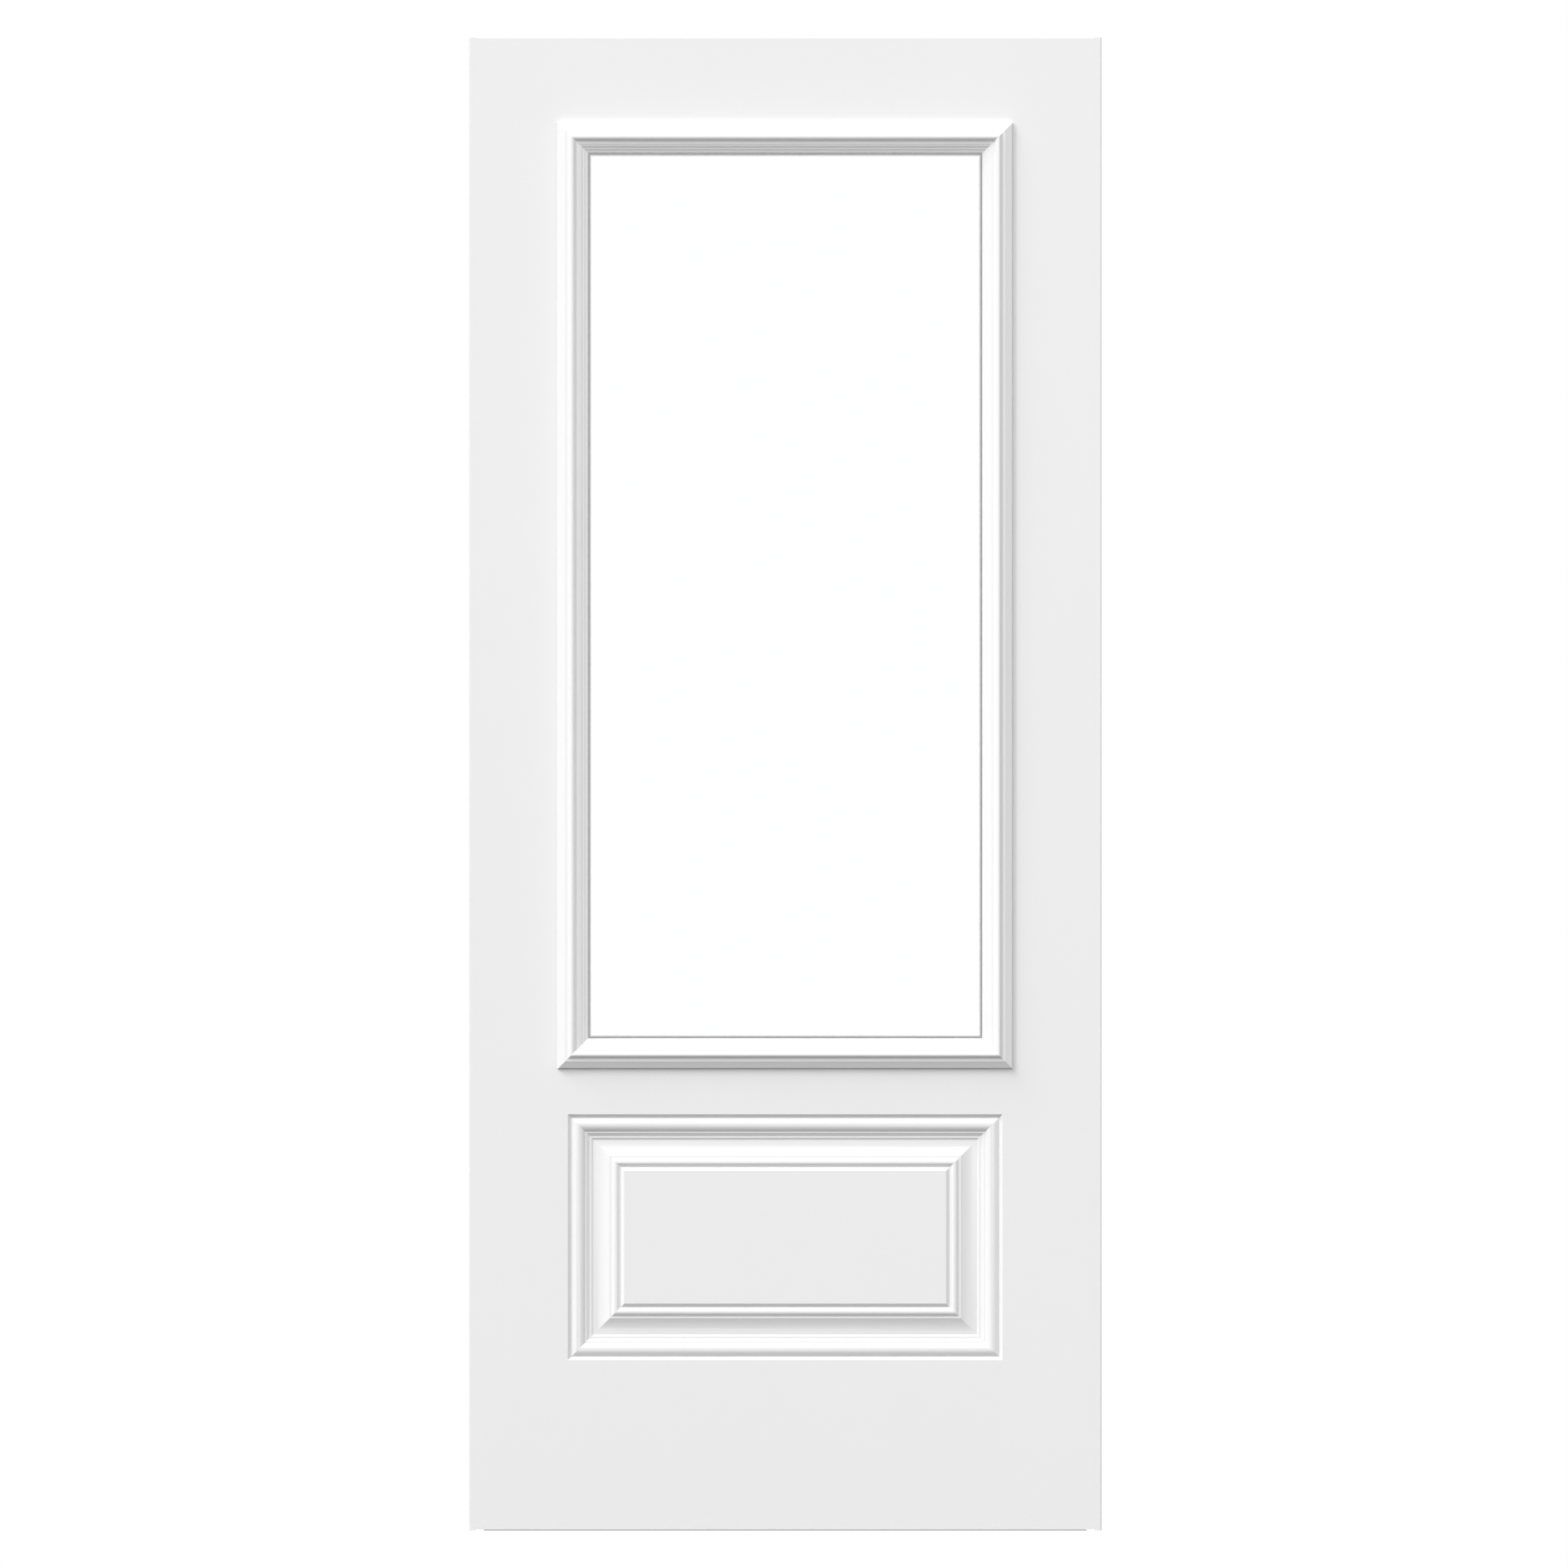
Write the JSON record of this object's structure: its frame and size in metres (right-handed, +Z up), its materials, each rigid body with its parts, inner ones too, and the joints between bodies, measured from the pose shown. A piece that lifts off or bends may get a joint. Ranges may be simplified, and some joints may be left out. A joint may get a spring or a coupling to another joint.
{
  "type": "glazed steel entrance door",
  "caption": "White steel-skinned door slab with a tall clear light in raised mitred mouldings above one pressed rectangular panel.",
  "frame": {"origin": "on the hinge edge's flat timber face, halfway through the slab's thickness, at the foot of the door", "axes": "+X from the hinge edge to the lock edge, -Y outdoors (the face pictured), +Z up"},
  "size_m": [0.85, 0.0729, 2.006],
  "materials": {
    "painted_steel": "satin white paint over pressed steel sheet",
    "painted_moulding": "satin white moulded plastic",
    "edge_timber": "bare planed softwood",
    "core_foam": "rigid foam, hidden",
    "clear_glass": "clear float glass",
    "spacer_bar": "mill-finish bar with matt faces",
    "unit_seal": "black sealant",
    "glazing_sealant": "grey sealant with a soft sheen",
    "setting_rubber": "hard black rubber"
  },
  "bodies": {
    "root": {"bottom_rail": "edge_timber", "edge_seal": "unit_seal", "exterior_gasket": "glazing_sealant", "exterior_head_moulding": "painted_moulding", "exterior_hinge_side_moulding": "painted_moulding", "exterior_lock_side_moulding": "painted_moulding", "exterior_sill_moulding": "painted_moulding", "exterior_skin": "painted_steel", "foam_core": "core_foam", "hinge_stile": "edge_timber", "inner_pane": "clear_glass", "interior_gasket": "glazing_sealant", "interior_head_moulding": "painted_moulding", "interior_hinge_side_moulding": "painted_moulding", "interior_lock_side_moulding": "painted_moulding", "interior_sill_moulding": "painted_moulding", "interior_skin": "painted_steel", "lock_stile": "edge_timber", "outer_pane": "clear_glass", "screw_plugs": "painted_moulding", "setting_blocks": "setting_rubber", "spacer_frame": "spacer_bar", "top_rail": "edge_timber"}
  },
  "joints": []
}
